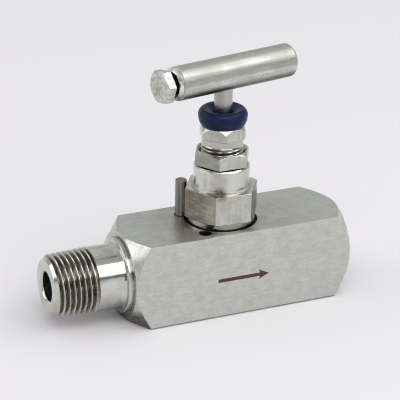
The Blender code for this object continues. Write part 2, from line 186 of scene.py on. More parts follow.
def drill(thing, shapes):
    """Cuts the shapes out of the thing for good."""
    cutters = []
    for shape in shapes:
        cutter = add_mesh("cutter", shape, thing.data.materials[:])
        boolean = thing.modifiers.new("cut", "BOOLEAN")
        boolean.operation = "DIFFERENCE"
        boolean.object = cutter
        cutters.append(cutter)
    graph = bpy.context.evaluated_depsgraph_get()
    mesh = bpy.data.meshes.new_from_object(thing.evaluated_get(graph))
    thing.modifiers.clear()
    thing.data = mesh
    for cutter in cutters:
        bpy.data.objects.remove(cutter)


def finish_piece(thing, node, sharp=40):
    """Smooths the shading, sets the piece on its CAD node's body and hides that node."""
    thing.data.shade_smooth()
    thing.data.set_sharp_from_angle(angle=math.radians(sharp))
    weighted = thing.modifiers.new("even_flats", "WEIGHTED_NORMAL")
    weighted.keep_sharp = True
    thing.location.z += FLOW_Z * MM
    body = next(name for name, nodes in frame["record"]["behaviour"]["bodies"].items() if node in nodes)
    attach(thing, body)
    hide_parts(node)


def thread_dip(height, angle, pitch):
    """A 60 degree right-hand thread: 0 on the crest and 1 in the root."""
    phase = (height / pitch - angle / TURN) % 1
    return min(1, max(0, (1 + 2 * THREAD_FLAT) * (1 - abs(2 * phase - 1)) - THREAD_FLAT))


def hexagon_corners(
    angle, flats, corner_angle, low, high, low_r, high_r,
    edge=0.25, bevel=0.1, finish=0, high_slope=CHAMFER_SLOPE,
):
    """The outer corners of a nut, bottom to top: flats that meet chamfers ending at these radii.

    The chamfers rise at 30 degrees, the upper one at another slope if high_slope says so.
    """
    r = polygon_radius(angle, 6, flats / 2, corner_angle, edge)

    def chamfer(flat_r, slope):
        return min(flat_r, r - 0.12), max((r - flat_r) * slope, 0.12)

    low_in, low_drop = chamfer(low_r, CHAMFER_SLOPE)
    high_in, high_drop = chamfer(high_r, high_slope)
    return [
        (low_in, low, 0.06, finish), (r, low + low_drop, bevel, finish),
        (r, high - high_drop, bevel, finish), (high_in, high, 0.08, finish),
    ]


# ---------------------------------------------------------------- finishes

NOISE_ROUGHNESS = 0.55


class Finish:
    """A Principled material with short ways to add and join nodes."""

    def __init__(self, name):
        self.material = bpy.data.materials.new(name)
        self.material.use_nodes = True
        self.tree = self.material.node_tree
        self.shader = self.tree.nodes["Principled BSDF"]
        self.place = self.add("ShaderNodeTexCoord").outputs["Object"]

    def add(self, kind, inputs=None, **settings):
        node = self.tree.nodes.new(kind)
        for key, value in settings.items():
            setattr(node, key, value)
        for key, value in (inputs or {}).items():
            self.set(node.inputs[key], value)
        return node

    def set(self, socket, value):
        if isinstance(value, bpy.types.NodeSocket):
            self.tree.links.new(value, socket)
        else:
            socket.default_value = value

    def shade(self, **inputs):
        for key, value in inputs.items():
            self.set(self.shader.inputs[key.replace("_", " ")], value)

    def noise(self, per_metre, detail=4, seed=0):
        """Noise whose features run at these frequencies along the piece's own X, Y and Z."""
        mapping = self.add(
            "ShaderNodeMapping", {"Vector": self.place, "Scale": per_metre, "Location": (seed, seed, seed)},
        )
        texture = self.add("ShaderNodeTexNoise", {
            "Vector": mapping.outputs["Vector"], "Scale": 1.0, "Detail": detail,
            "Roughness": NOISE_ROUGHNESS,
        })
        return texture.outputs["Fac"]

    def between(self, value, low_in, high_in, low_out, high_out):
        node = self.add(
            "ShaderNodeMapRange",
            {"Value": value, "From Min": low_in, "From Max": high_in, "To Min": low_out, "To Max": high_out},
        )
        return node.outputs["Result"]

    def sum(self, a, b, operation="ADD"):
        return self.add("ShaderNodeMath", {0: a, 1: b}, operation=operation).outputs[0]

    def blend(self, share, a, b):
        node = self.add("ShaderNodeMix", {"Factor": share}, data_type="RGBA")
        for socket, value in zip([s for s in node.inputs if s.type == "RGBA"], (a, b)):
            self.set(socket, value if isinstance(value, bpy.types.NodeSocket) else (*value, 1))
        return next(s for s in node.outputs if s.type == "RGBA")

    def bump(self, value, strength, distance):
        inputs = {"Height": value, "Strength": strength, "Distance": distance * MM}
        return self.add("ShaderNodeBump", inputs).outputs["Normal"]

    def parts(self, vector):
        """The X, Y and Z of a vector, by name."""
        return self.add("ShaderNodeSeparateXYZ", {"Vector": vector}).outputs


def grain_along(axis, along, across):
    """Frequencies of brush marks: long along this axis and fine across it, or fine along it when turned."""
    scale = [across, across, across]
    scale[axis] = along
    return tuple(scale)


def steel(
    name, colour, roughness, grain,
    streak=0.06, cloud=0.05, clouds_per_metre=130, brushed=None, depth=0.006, soils_and_shade=(),
):
    """Machined stainless: tool marks along one direction, cloudy handling smudges, and the soils and painted
    shade that are passed in.

    brushed is the axis that the piece was turned round and the share of a turn from the tool marks'
    direction to the one across them, in which the marks spread a reflection.
    """
    finish = Finish(name)
    fine = finish.noise(grain, detail=4)
    speck = finish.noise((1500, 1500, 1500), detail=3, seed=2)
    patches = finish.noise((clouds_per_metre,) * 3, detail=5, seed=3)
    brushing = finish.between(fine, 0.3, 0.7, -0.5, 0.5)
    marks = finish.sum(brushing, finish.between(speck, 0.3, 0.7, -0.35, 0.35))
    tone = finish.blend(
        finish.between(marks, -0.85, 0.85, 0, 1),
        tuple(c * (1 - streak) for c in colour), tuple(c * (1 + streak) for c in colour),
    )
    dull = tuple(c * k for c, k in zip(colour, (1 - 2.6 * cloud, 1 - 2.6 * cloud, 1 - 3.4 * cloud)))
    tone = finish.blend(finish.between(patches, 0.46, 0.72, 0, 1), tone, dull)
    worn = finish.between(patches, 0.3, 0.7, roughness - 0.04, roughness + 0.06)
    finish.shade(
        Metallic=1.0, Roughness=finish.sum(worn, finish.between(speck, 0.25, 0.75, -0.05, 0.05)),
        Normal=finish.bump(marks, 0.35, depth),
    )
    if brushed is not None:
        axis, across = brushed
        tangent = finish.add("ShaderNodeTangent", direction_type="RADIAL", axis=axis)
        finish.shade(Anisotropic=0.55, Anisotropic_Rotation=across, Tangent=tangent.outputs["Tangent"])
    # Each entry darkens the tone: some are real soil, the rest are painted shade.
    for soil_and_shade, soil_and_shade_colour in soils_and_shade:
        tone = finish.blend(soil_and_shade(finish), tone, soil_and_shade_colour)
    finish.shade(Base_Color=tone)
    return finish


def crevice_shade(reach, most, above=None):
    """Painted shade where two surfaces meet, found by ambient occlusion within this reach in millimetres and
    above this height.
    """
    def soil_and_shade(finish):
        occlusion = finish.add("ShaderNodeAmbientOcclusion", {"Distance": reach * MM}, samples=16)
        share = finish.between(occlusion.outputs["AO"], 0.2, 0.75, most, 0.0)
        if above is None:
            return share
        height = finish.parts(finish.place)["Z"]
        return finish.sum(share, finish.between(height, (above - 0.4) * MM, above * MM, 0.0, 1.0), "MULTIPLY")

    return soil_and_shade


def underside_shade(most, level=-0.35, steep=-0.7):
    """Painted shade: a darker tone on what faces down, from one upward share of its normal to another."""
    def soil_and_shade(finish):
        upward = finish.parts(finish.add("ShaderNodeNewGeometry").outputs["Normal"])["Z"]
        return finish.between(upward, level, steep, 0.0, most)

    return soil_and_shade


def shade_on_side(direction, start, full, most, fade=None):
    """Cloudy painted shade on the side that faces this way, from one distance along it to another.

    fade is another direction, and the distances along it between which the shade thins out.
    """
    def soil_and_shade(finish):
        def ramp(way, clear, dark, least, greatest):
            along = finish.add("ShaderNodeVectorMath", {0: finish.place, 1: way}, operation="DOT_PRODUCT")
            return finish.between(along.outputs["Value"], clear * MM, dark * MM, least, greatest)

        share = ramp(direction, start, full, 0.0, most)
        if fade is not None:
            share = finish.sum(share, ramp(*fade, 1.0, 0.6), "MULTIPLY")
        patches = finish.noise((230, 230, 1300), detail=5, seed=13)
        return finish.sum(share, finish.between(patches, 0.36, 0.6, 0.7, 1.0), "MULTIPLY")

    return soil_and_shade


def smudge(at, full, clear, most):
    """A dark spot round this point, from full at one distance to clear at another."""
    def soil_and_shade(finish):
        middle = tuple(value * MM for value in at)
        away = finish.add("ShaderNodeVectorMath", {0: finish.place, 1: middle}, operation="DISTANCE")
        share = finish.between(away.outputs["Value"], full * MM, clear * MM, most, 0.0)
        patches = finish.noise((700, 700, 700), detail=4, seed=29)
        return finish.sum(share, finish.between(patches, 0.35, 0.6, 0.5, 1.0), "MULTIPLY")

    return soil_and_shade


def towards(degrees):
    """The level direction at this angle from +X."""
    return math.cos(math.radians(degrees)), math.sin(math.radians(degrees)), 0


def streaks(per_metre, clear, full, most):
    """Marks where noise that runs at these frequencies along X, Y and Z is strong."""
    def soil_and_shade(finish):
        return finish.between(finish.noise(per_metre, detail=5, seed=23), clear, full, 0.0, most)

    return soil_and_shade


def ring_stain(start, clear, most):
    """Smudges on the top face round the stem, thinning out from one radius to another."""
    def soil_and_shade(finish):
        parts = finish.parts(finish.place)
        flat = finish.add("ShaderNodeCombineXYZ", {"X": parts["X"], "Y": parts["Y"]})
        radius = finish.add("ShaderNodeVectorMath", {0: flat.outputs["Vector"]}, operation="LENGTH")
        share = finish.between(radius.outputs["Value"], start * MM, clear * MM, most, 0.0)
        on_top = finish.between(parts["Z"], 0.98 * HALF_BAR * MM, 0.99 * HALF_BAR * MM, 0.0, 1.0)
        patches = finish.noise((160, 260, 160), detail=5, seed=17)
        cover = finish.sum(share, finish.between(patches, 0.35, 0.6, 0.2, 1.0), "MULTIPLY")
        return finish.sum(cover, on_top, "MULTIPLY")

    return soil_and_shade


def moulded(name, colour, roughness, level=0.5):
    """Moulded plastic: a soft sheen with fine orange peel, faint scuffs and a little dust."""
    finish = Finish(name)
    peel = finish.noise((2600, 2600, 2600), detail=2)
    cloud = finish.noise((240, 240, 420), detail=4, seed=5)
    scuff = finish.noise((700, 700, 1800), detail=6, seed=11)
    light = tuple(c * 1.6 + 0.004 for c in colour)
    tone = finish.blend(finish.between(cloud, 0.4, 0.75, 0, 0.7), colour, light)
    rough = finish.between(scuff, 0.3, 0.75, roughness - 0.08, roughness + 0.14)
    rubbed = tuple(c * 2.6 + 0.016 for c in colour)
    tone = finish.blend(finish.between(scuff, 0.6, 0.72, 0, 0.6), tone, rubbed)
    finish.shade(Base_Color=tone, Roughness=rough, Normal=finish.bump(peel, 0.25, 0.02))
    finish.shade(Specular_IOR_Level=level)
    return finish


def groove_soil(axis, crest_at_origin, taper, depth, top):
    """Cutting residue that darkens the roots of a thread along this axis, by depth below its crests."""
    def soil_and_shade(finish):
        parts = finish.parts(finish.place)
        first, second = (parts[name] for name in "XYZ".replace(axis, ""))
        squares = finish.sum(finish.sum(first, first, "MULTIPLY"), finish.sum(second, second, "MULTIPLY"))
        radius = finish.add("ShaderNodeMath", {0: squares}, operation="SQRT").outputs[0]
        crest = finish.sum(finish.sum(parts[axis], taper, "MULTIPLY"), crest_at_origin * MM)
        below = finish.sum(crest, radius, "SUBTRACT")
        share = finish.between(below, 0.08 * depth * MM, 0.5 * depth * MM, 0.0, top)
        cloud = finish.noise((260, 260, 260), detail=3, seed=9)
        return finish.sum(share, finish.between(cloud, 0.3, 0.7, 0.7, 1.1), "MULTIPLY")

    return soil_and_shade


# ---------------------------------------------------------------- body

CONE_END_R = HALF_BAR - 0.1
CONE_SLOPE = 1.15
SHOULDER_X = -35.6
COLLAR_R = 12.5
COLLAR_X = (-37.2, -35.8)
STUB_R = 10.7
PIPE_PITCH = 25.4 / 14
PIPE_TAPER = 1 / 32
PIPE_DEPTH = 0.76 * PIPE_PITCH
PIPE_THREAD_X = -46.3
PIPE_END_R = 8.7
PIPE_END_CHAMFER = 1.6
PIPE_THREAD_START = (0.3, 1.0)
PIPE_THREAD_TURN = 0.78
MALE_BORE_R = 4.8
MALE_BORE_X = -14.0
PORT_X = 23.0
PORT_MOUTH_R = 10.65
PORT_DEPTH = 1.35
PORT_RUN_OUT = 1.5
STEPS_PER_PITCH = 14
ARROW_X = (-6.9, 11.2)
ARROW_Z = -1.45
ARROW_HEAD = 3.2
ARROW_HEAD_HALF = 1.75
ARROW_SHAFT_HALF = 0.62
ETCH_DEPTH = 0.12
BAR_EDGE = 0.25
PIPE_RUN_OUT = 0.3 * PIPE_PITCH
ORIFICE_R = 2.2
INLET_R = 2.4
INLET_Z = -2.3
SEAT_Z = 1.8
CHAMBER_R = 5.5
BONNET_HOLE_R = 9.1
RECESS_R = 11.9
RECESS_Z = 13.1
HOLE_EDGE = 0.18
OUTLET_R = 2.0
OUTLET_FROM, OUTLET_TO = Vector((23.5, 0.0, -0.4)), Vector((3.4, 0.0, 4.2))
SPARE_HOLE_AT = (-9.9, -9.9, 0)
PIN_CLEARANCE = 0.12
# The fifth finish is near-black painted shade for bores, holes and the recess round the bonnet.
FLAT, TURNED, THREAD, ETCHED, PAINTED_SHADE, CONE = range(6)


def male_thread(angle, start, end):
    points = []
    count = round((end - start) / PIPE_PITCH * STEPS_PER_PITCH)
    for step in range(1, count + 1):
        x = start + (end - start) * step / count
        crest = STUB_R - PIPE_TAPER * (end - x)
        begun = (x - start - PIPE_THREAD_START[0]) / (PIPE_THREAD_START[1] - PIPE_THREAD_START[0])
        fade = min(1, max(0, (end - x) / PIPE_RUN_OUT)) * min(1, max(0, begun))
        chamfer = PIPE_END_R + (crest - PIPE_END_R) / PIPE_END_CHAMFER * (x - start)
        r = crest - PIPE_DEPTH * thread_dip(x + PIPE_THREAD_TURN * PIPE_PITCH, angle, PIPE_PITCH) * fade
        points.append((min(r, chamfer), x, 0, TURNED if chamfer < r else THREAD))
    return points


def port_thread(angle, mouth, floor):
    points = []
    count = round((mouth - floor) / PIPE_PITCH * (STEPS_PER_PITCH - 4))
    for step in range(1, count):
        x = mouth + (floor - mouth) * step / count
        root = PORT_MOUTH_R - PIPE_TAPER * (mouth - x)
        fade = min(1, max(0, (x - floor - PORT_RUN_OUT) / PIPE_PITCH))
        r = root - PORT_DEPTH * (1 - thread_dip(x, angle, PIPE_PITCH)) * fade
        chamfer = PORT_MOUTH_R + 0.4 - (mouth - x)
        points.append((max(r, chamfer), x, 0, THREAD))
    return points


def body_outline(angle):
    start, end = span("body", 0)
    flat_r = polygon_radius(angle, 4, HALF_BAR, math.radians(45), BAR_EDGE)
    reach = (flat_r - CONE_END_R) / CONE_SLOPE
    floor_r = PORT_MOUTH_R - PORT_DEPTH - PIPE_TAPER * (end - PORT_X) + 0.3
    return [
        (0, MALE_BORE_X + MALE_BORE_R / 2, 0, TURNED),
        (MALE_BORE_R, MALE_BORE_X, 0.1, TURNED),
        (MALE_BORE_R, start + 0.5, 0.1, TURNED),
        (MALE_BORE_R + 0.5, start, 0.1, TURNED),
        (PIPE_END_R, start, 0.12, TURNED),
        *male_thread(angle, start, PIPE_THREAD_X),
        (STUB_R, PIPE_THREAD_X + 0.5, 0, TURNED),
        (STUB_R, COLLAR_X[0], 1.4, TURNED),
        (COLLAR_R - 0.35, COLLAR_X[0] - 0.05, 0.1, CONE),
        (COLLAR_R, COLLAR_X[0] + 0.35, 0.1, CONE),
        (COLLAR_R, COLLAR_X[1] - 0.15, 0.08, CONE),
        (COLLAR_R - 0.2, COLLAR_X[1] - 0.1, 0.05, TURNED),
        (COLLAR_R - 0.2, SHOULDER_X - 0.05, 0.05, TURNED),
        (COLLAR_R + 0.3, SHOULDER_X, 0.05, TURNED),
        (CONE_END_R, SHOULDER_X, 0.1, CONE),
        (flat_r, SHOULDER_X + reach, 0.12, CONE),
        (flat_r, end - reach, 0.12, FLAT),
        (CONE_END_R, end, 0.25, CONE),
        (PORT_MOUTH_R + 0.9, end, 0.1, TURNED),
        (PORT_MOUTH_R + 0.25, end - 0.65, 0, THREAD),
        *port_thread(angle, end - 0.7, PORT_X),
        (floor_r, PORT_X, 0.1, TURNED),
        (0, PORT_X - floor_r * CHAMFER_SLOPE, 0, TURNED),
    ]


def arrow_cutter():
    """A flow arrow sunk a little way into the front face, with the etched finish."""
    tail, tip = ARROW_X
    neck = tip - ARROW_HEAD
    half = [(tail, ARROW_SHAFT_HALF), (neck, ARROW_SHAFT_HALF), (neck - 0.5, ARROW_HEAD_HALF)]
    outline = half + [(tip, 0)] + [(x, -z) for x, z in reversed(half)]
    shape = bmesh.new()
    rows = []
    for y in (-HALF_BAR - 1, -HALF_BAR + ETCH_DEPTH):
        rows.append([shape.verts.new((x * MM, y * MM, (ARROW_Z + z) * MM)) for x, z in outline])
    for i in range(len(outline)):
        shape.faces.new((rows[0][i - 1], rows[1][i - 1], rows[1][i], rows[0][i]))
    shape.faces.new(rows[0])
    shape.faces.new(rows[1][::-1])
    bmesh.ops.recalc_face_normals(shape, faces=shape.faces)
    for face in shape.faces:
        face.material_index = ETCHED
    return shape


def cutter_round(corners, count=SMALL_ROUND, finish=PAINTED_SHADE):
    """A round cutter that leaves the walls it cuts with this finish, by default the near-black painted shade.
    """
    shape = turned([(*corner, 0) for corner in corners], count)
    for face in shape.faces:
        face.material_index = finish
    return shape


def make_body(materials):
    shape = lathe(body_outline, angles_round(180, 4, math.radians(45), 2.2))
    thing = add_mesh("body_machined", along_x(shape), materials)
    chamber_top = heights("bonnet_seal_ring")[0] - 0.2
    above_bar = HALF_BAR + 1
    rim = HALF_BAR - HOLE_EDGE
    # The cut walls of these holes and of the recess get the near-black painted shade.
    bonnet_hole = [
        (0, INLET_Z), (ORIFICE_R, INLET_Z), (ORIFICE_R, SEAT_Z - 0.3), (ORIFICE_R + 0.3, SEAT_Z),
        (CHAMBER_R, SEAT_Z), (CHAMBER_R, chamber_top), (BONNET_HOLE_R, chamber_top),
        (BONNET_HOLE_R, RECESS_Z - 0.2), (BONNET_HOLE_R + 0.2, RECESS_Z), (RECESS_R, RECESS_Z),
        (RECESS_R, rim), (RECESS_R + HOLE_EDGE + 1, above_bar), (0, above_bar),
    ]
    inlet = [(0, MALE_BORE_X - 1), (INLET_R, MALE_BORE_X - 1), (INLET_R, 1.0), (0, 2.2)]
    run = OUTLET_TO - OUTLET_FROM
    outlet = cutter_round([(0, 0), (OUTLET_R, 0), (OUTLET_R, run.length), (0, run.length)])
    outlet.transform(run.to_track_quat("Z", "Y").to_matrix().to_4x4())
    pin_low = heights("bonnet_lock_pin")[0] - 0.2
    hole_r = radius_of("bonnet_lock_pin") + PIN_CLEARANCE
    pin_hole = [
        (0, pin_low), (hole_r, pin_low), (hole_r, rim), (hole_r + HOLE_EDGE + 1, above_bar), (0, above_bar),
    ]
    pin = (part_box("bonnet_lock_pin")[0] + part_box("bonnet_lock_pin")[1]) / 2 / MM
    drill(thing, [
        cutter_round(bonnet_hole, ROUND),
        moved(along_x(cutter_round(inlet)), (0, 0, INLET_Z)),
        moved(outlet, OUTLET_FROM),
        moved(cutter_round(pin_hole), (pin.x, pin.y, 0)),
        moved(cutter_round(pin_hole), SPARE_HOLE_AT),
        arrow_cutter(),
    ])
    finish_piece(thing, "body", sharp=32)


# ---------------------------------------------------------------- bonnet and its fixings

SPIGOT_R = 8.8
BONNET_COLLAR_R = 11.2
BONNET_COLLAR_Z = 13.4
BONNET_FLATS = 22
BONNET_CORNER = math.radians(-3)
BONNET_HEX_LOW = 16.2
BOSS_HEIGHT = 7.6
BOSS_R = 9.2
BOSS_CHAMFER = 0.55
GLAND_HOLE_R = 7.05
GLAND_HOLE_FLOOR = 27
PACKING_HOLE_R = 5.9
PACKING_FLOOR = 18.3
STEM_HOLE_R = 3.2
TIP_ROOM_TOP = 15.3
TIP_ROOM_R = 4.7
SEAL_HOLE_R = 5.8
CHEVRON_RISE = 0.8


def make_bonnet(materials):
    low, high = heights("bonnet")
    hex_low, hex_high = BONNET_HEX_LOW, high - BOSS_HEIGHT

    def outline(angle):
        return [
            (SPIGOT_R, low, BREAK, 0), (SPIGOT_R, BONNET_COLLAR_Z, 0.1, 0),
            (BONNET_COLLAR_R, BONNET_COLLAR_Z, BREAK, 0), (BONNET_COLLAR_R, hex_low, 0.1, 0),
            *hexagon_corners(angle, BONNET_FLATS, BONNET_CORNER, hex_low, hex_high, 12.0, 12.0, 0.3, 0.2, 1),
            (BOSS_R + 0.9, hex_high, 0.1, 0), (BOSS_R + 0.55, hex_high - 0.22, 0.1, 0),
            (BOSS_R + 0.25, hex_high - 0.22, 0.1, 0), (BOSS_R, hex_high + 0.5, 0.3, 0),
            (BOSS_R, high - BOSS_CHAMFER, 0.15, 0), (BOSS_R - BOSS_CHAMFER, high, 0.1, 0),
            (GLAND_HOLE_R + 0.45, high, 0.1, 0), (GLAND_HOLE_R, high - 0.45, 0.1, 0),
            (GLAND_HOLE_R, GLAND_HOLE_FLOOR, 0.1, 0), (PACKING_HOLE_R, GLAND_HOLE_FLOOR, 0.1, 0),
            (PACKING_HOLE_R, PACKING_FLOOR, 0.1, 0), (STEM_HOLE_R, PACKING_FLOOR, 0.1, 0),
            (STEM_HOLE_R, TIP_ROOM_TOP, 0.1, 0), (TIP_ROOM_R, TIP_ROOM_TOP, 0.1, 0),
            (TIP_ROOM_R, low, 0.1, 0),
        ]

    shape = lathe(outline, angles_round(120, 6, BONNET_CORNER, 1.6))
    finish_piece(add_mesh("bonnet_hexagon", shape, materials), "bonnet")


def make_lock_pin(material):
    """A dowel with a rounded foot and a shallow centre hole in its top."""
    low, high = heights("bonnet_lock_pin")
    r = radius_of("bonnet_lock_pin")
    pin = [
        (0, low), (r, low, 0.2), (r, high - 0.25, 0.12), (r - 0.3, high, 0.1),
        (0.75, high, 0.08), (0.45, high - 0.35, 0.1), (0, high - 0.35),
    ]
    thing = add_mesh("bonnet_lock_dowel", turned(pin, SMALL_ROUND), [material])
    middle = (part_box("bonnet_lock_pin")[0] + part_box("bonnet_lock_pin")[1]) / 2
    thing.location = (middle.x, middle.y, 0)
    finish_piece(thing, "bonnet_lock_pin")


def make_washers(metal, seal, soft):
    """The flat and chevron rings round the stem, and the bonnet's seal."""
    def ring(name, node, corners, material):
        finish_piece(add_mesh(name, turned(corners, SMALL_ROUND), [material]), node)

    def flat(name, node, inner, material):
        low, high = heights(node)
        outer = radius_of(node)
        corners = [(inner, low, 0.08), (outer, low, 0.08), (outer, high, 0.08), (inner, high, 0.08)]
        ring(name, node, corners, material)

    flat("bonnet_seal", "bonnet_seal_ring", SEAL_HOLE_R, seal)
    inner = STEM_HOLE_R - 0.05
    flat("packing_washer", "packing_support_washer", inner, metal)
    flat("packing_follower_bush", "packing_follower", inner, metal)
    outer = radius_of("packing_v_ring_1")
    middle = (inner + outer) / 2

    def peak(edge):
        return [(inner, edge, 0.05), (middle, edge + CHEVRON_RISE, 0.15), (outer, edge, 0.05)]

    for number in range(1, 4):
        node = f"packing_v_ring_{number}"
        low, high = heights(node)
        ring(f"packing_chevron_{number}", node, peak(low) + peak(high - CHEVRON_RISE)[::-1], soft)
    low, high = heights("packing_bottom_adapter")
    corners = [(inner, low, 0.05), (outer, low, 0.05)] + peak(high - CHEVRON_RISE)[::-1]
    ring("packing_lower_ring", "packing_bottom_adapter", corners, soft)
    low, high = heights("packing_top_adapter")
    upper = peak(low) + [(outer, high, 0.05), (inner, high, 0.05)]
    ring("packing_upper_ring", "packing_top_adapter", upper, soft)


# ---------------------------------------------------------------- gland

GLAND_PITCH = 1.25
GLAND_CREST_R = 6.95
GLAND_DEPTH = 0.78
GLAND_THREAD_TOP = 40.6
GLAND_THREAD_STEPS = 12
GLAND_THREAD_START = 0.5
GLAND_THREAD_RUN_OUT = 0.5 * GLAND_PITCH
GLAND_FLATS = 13.8
GLAND_CORNER = math.radians(-107)
GLAND_HEX_Z = (43.0, 47.0)
GLAND_NECK_R = 6.8
GLAND_TOP_R = 6.0
GLAND_BORE_R = 4.2
GLAND_BORE_TOP = 48.4
LOCK_NUT_FLATS = 16.6
LOCK_NUT_CORNER = math.radians(-120)
LOCK_NUT_HOLE_R = 7.1
CAP_HOLE_R = 6.2
CAP_LIP_R = 3.35
CAP_CEILING = 51.25


def gland_thread(angle, low, high):
    """The gland's outer thread, run out into the plain neck above it."""
    points = []
    count = round((high - low) / GLAND_PITCH * GLAND_THREAD_STEPS)
    for step in range(count + 1):
        h = low + (high - low) * step / count
        start = min(1, (h - low) / GLAND_THREAD_START)
        fade = min(1, (high - h) / GLAND_THREAD_RUN_OUT) * start
        crest = GLAND_CREST_R - GLAND_THREAD_START * (1 - start)
        points.append((crest - GLAND_DEPTH * thread_dip(h, angle, GLAND_PITCH) * fade, h, 0, 1))
    return points


def make_gland_nut(materials):
    low, high = heights("gland_nut")
    hex_low, hex_high = GLAND_HEX_Z

    def outline(angle):
        return [
            *gland_thread(angle, low, GLAND_THREAD_TOP),
            (GLAND_NECK_R, GLAND_THREAD_TOP + 0.3, 0.1, 1), (GLAND_NECK_R, hex_low, 0.15, 1),
            *hexagon_corners(angle, GLAND_FLATS, GLAND_CORNER, hex_low, hex_high, 7.5, 6.9, high_slope=1.4),
            (GLAND_TOP_R, hex_high, 0.1, 0), (GLAND_TOP_R, high - 0.4, 0.1, 0),
            (GLAND_TOP_R - 0.4, high, 0.1, 0),
            (STEM_HOLE_R + 0.1, high, 0.1, 0), (STEM_HOLE_R, high - 0.2, 0.1, 0),
            (STEM_HOLE_R, GLAND_BORE_TOP + 0.8, 0.1, 0), (GLAND_BORE_R, GLAND_BORE_TOP, 0.1, 0),
            (GLAND_BORE_R, low, 0.1, 0),
        ]

    shape = lathe(outline, angles_round(120, 6, GLAND_CORNER, 1.6))
    finish_piece(add_mesh("gland_screw", shape, materials), "gland_nut")


def make_lock_nut(material):
    low, high = heights("gland_lock_nut")
    hole_r = LOCK_NUT_HOLE_R

    def outline(angle):
        return [
            *hexagon_corners(angle, LOCK_NUT_FLATS, LOCK_NUT_CORNER, low, high, 9.2, 8.1),
            (hole_r + 0.85, high, 0.08, 0), (hole_r, high - 1.3, 0.08, 0),
            (hole_r, low + 0.6, 0.08, 0), (hole_r + 0.6, low, 0.08, 0),
        ]

    shape = lathe(outline, angles_round(120, 6, LOCK_NUT_CORNER, 1.6))
    finish_piece(add_mesh("gland_lock_hexagon", shape, [material]), "gland_lock_nut")


def make_cap(material):
    low, high = heights("dust_cap")
    r = radius_of("dust_cap")
    cap = [
        (CAP_HOLE_R, low, 0.1), (7.1, low, 0.25), (r - 0.25, low + 1.3, 0.8), (r, low + 3.2, 0.9),
        (r - 0.15, high - 1.2, 0.6), (r - 1.1, high - 0.1, 0.7), (6.0, high, 0.5), (5.1, high - 0.25, 0.4),
        (3.75, high - 0.95, 0.25), (CAP_LIP_R, high - 1.25, 0.1), (CAP_LIP_R, CAP_CEILING, 0.05),
        (CAP_HOLE_R, CAP_CEILING, 0.1),
    ]
    finish_piece(add_mesh("dust_cap_moulding", turned(cap, ROUND), [material]), "dust_cap", sharp=60)


# ---------------------------------------------------------------- spindle

STEM_R = 3.0
STEM_SPIGOT_R = 2.0
STEM_HEAD_R = 4.2
STEM_HEAD_Z = (8.3, 9.2)
STEM_THREAD_Z = (31.0, 42.2)
STEM_THREAD_END_R = 3.2
STEM_THREAD_CREST = 0.78
STEM_THREAD_DEPTH = 0.7
STEM_THREAD_RUN_OUT = 0.6
STEM_THREAD_STEPS = 8
CLIP_GROOVE_Z = (6.95, 7.65)
CLIP_GROOVE_R = 1.6
TIP_HOLE_R = 2.25
TIP_GROOVE_R = 2.65
TIP_HOLE_FLOOR = 4.6
TIP_POINT_R = 0.9
WIRE_STEPS = 16


def make_stem(material):
    low, high = heights("stem")
    spigot_r = STEM_SPIGOT_R
    groove_low, groove_high = CLIP_GROOVE_Z
    thread_low, thread_high = STEM_THREAD_Z

    def outline(angle):
        points = [
            (0, low, 0, 0), (spigot_r, low, 0.1, 0), (spigot_r, groove_low, 0.05, 0),
            (CLIP_GROOVE_R, groove_low, 0.05, 0), (CLIP_GROOVE_R, groove_high, 0.05, 0),
            (spigot_r, groove_high, 0.05, 0), (spigot_r, STEM_HEAD_Z[0], 0.05, 0),
            (STEM_HEAD_R, STEM_HEAD_Z[0], 0.1, 0), (STEM_HEAD_R, STEM_HEAD_Z[1], 0.1, 0),
            (STEM_R, STEM_HEAD_Z[1] + 0.5, 0.1, 0), (STEM_R, thread_low - 0.8, 0.1, 0),
        ]
        count = round((thread_high - thread_low) / GLAND_PITCH * STEM_THREAD_STEPS)
        for step in range(count + 1):
            h = thread_low + (thread_high - thread_low) * step / count
            fade = min(1, (h - thread_low) / STEM_THREAD_RUN_OUT, (thread_high - h) / STEM_THREAD_RUN_OUT)
            ridge = STEM_THREAD_CREST - STEM_THREAD_DEPTH * thread_dip(h, angle, GLAND_PITCH)
            points.append((STEM_THREAD_END_R + ridge * fade, h, 0, 0))
        return points + [
            (STEM_R, thread_high + 0.5, 0.1, 0), (STEM_R, high - 0.5, 0.1, 0), (STEM_R - 0.5, high, 0.1, 0),
            (0, high, 0, 0),
        ]

    finish_piece(add_mesh("stem_spindle", lathe(outline, angles_round(64)), [material]), "stem")


def make_needle(material):
    low, high = heights("needle_tip")
    r = radius_of("needle_tip")
    shoulder = low + (r - TIP_POINT_R) / CHAMFER_SLOPE
    groove_low, groove_high = CLIP_GROOVE_Z
    tip = [
        (0, low), (TIP_POINT_R, low, 0.1), (r, shoulder, 0.2), (r, high, 0.15), (TIP_HOLE_R, high, 0.05),
        (TIP_HOLE_R, groove_high, 0.03), (TIP_GROOVE_R, groove_high, 0.05), (TIP_GROOVE_R, groove_low, 0.05),
        (TIP_HOLE_R, groove_low, 0.03), (TIP_HOLE_R, TIP_HOLE_FLOOR, 0.1), (0, TIP_HOLE_FLOOR),
    ]
    finish_piece(add_mesh("needle_cone", turned(tip, SMALL_ROUND), [material]), "needle_tip")

    low, high = heights("tip_retaining_ring")
    wire_r = (high - low) / 2
    middle = radius_of("tip_retaining_ring") - wire_r
    turns = [TURN * k / WIRE_STEPS for k in range(WIRE_STEPS)]
    centre_z = (low + high) / 2
    clip = [(middle + wire_r * math.cos(a), centre_z + wire_r * math.sin(a), 0) for a in turns]
    finish_piece(add_mesh("tip_clip", turned(clip, SMALL_ROUND), [material]), "tip_retaining_ring")

    low, high = heights("thrust_ball")
    ball = bmesh.new()
    centre = Matrix.Translation((0, 0, (low + high) / 2 * MM))
    bmesh.ops.create_icosphere(ball, subdivisions=4, radius=(high - low) / 2 * MM, matrix=centre)
    finish_piece(add_mesh("thrust_ball_bearing", ball, [material]), "thrust_ball")


# ---------------------------------------------------------------- handle

